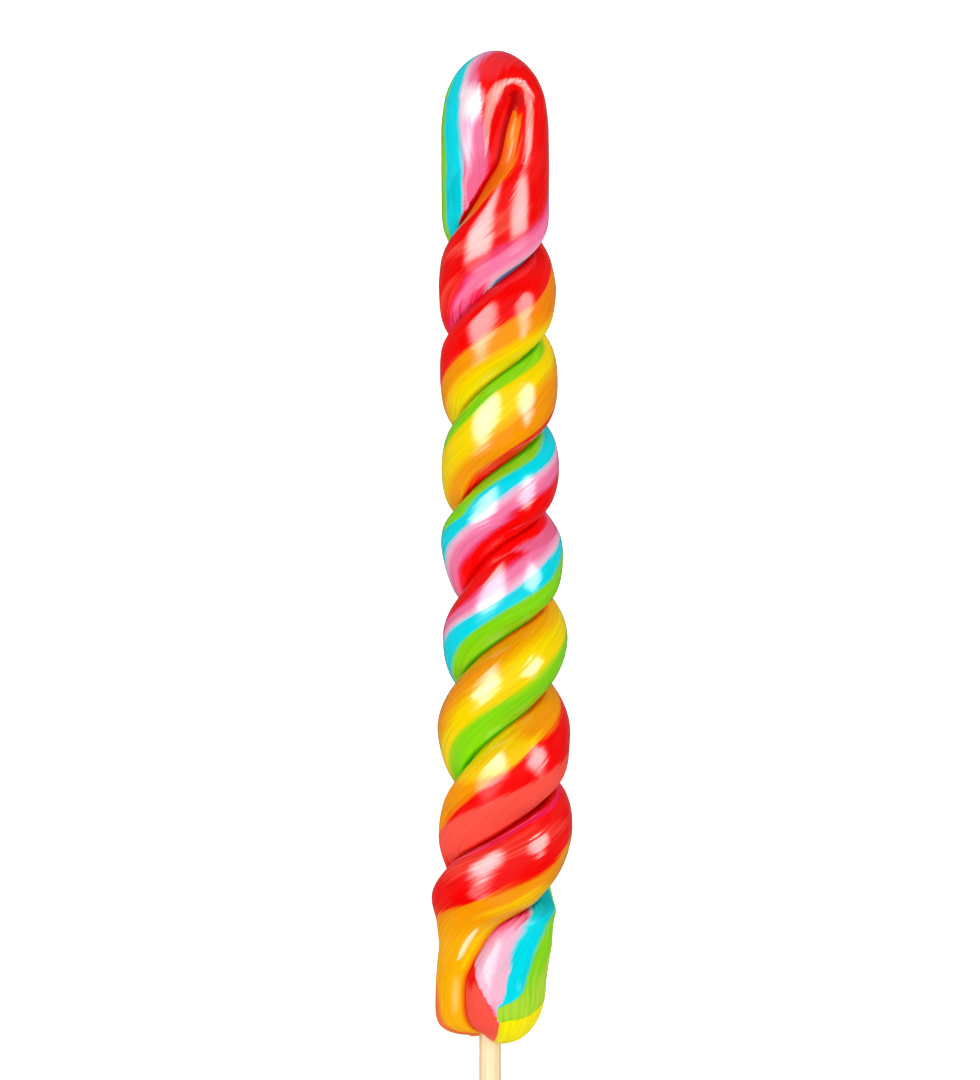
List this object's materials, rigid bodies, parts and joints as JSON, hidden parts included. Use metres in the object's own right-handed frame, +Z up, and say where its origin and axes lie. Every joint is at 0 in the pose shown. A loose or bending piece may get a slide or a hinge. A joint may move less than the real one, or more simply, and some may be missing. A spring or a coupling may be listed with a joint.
{
  "type": "swirl lollipop",
  "caption": "Rainbow-striped pulled-sugar lollipop: a folded rope of hard candy twisted on itself along a round wooden stick, lying on its back.",
  "frame": {"origin": "under the middle of the bounding box, on the surface that the lollipop lies on", "axes": "+Y runs from the stick's end to the folded top, +X across the lollipop to the right as seen from above, +Z up from the surface"},
  "size_m": [0.032, 0.32, 0.0297],
  "materials": {
    "striped_sugar": "hard boiled sugar in red, orange, yellow, green, turquoise and pink stripes that follow the rope, wet-looking gloss with fine pulled streaks",
    "birch_dowel": "pale unvarnished dowel, smooth sanded, fine lengthwise grain"
  },
  "bodies": {
    "root": {"candy_twist": "striped_sugar", "stick": "birch_dowel"}
  },
  "joints": []
}
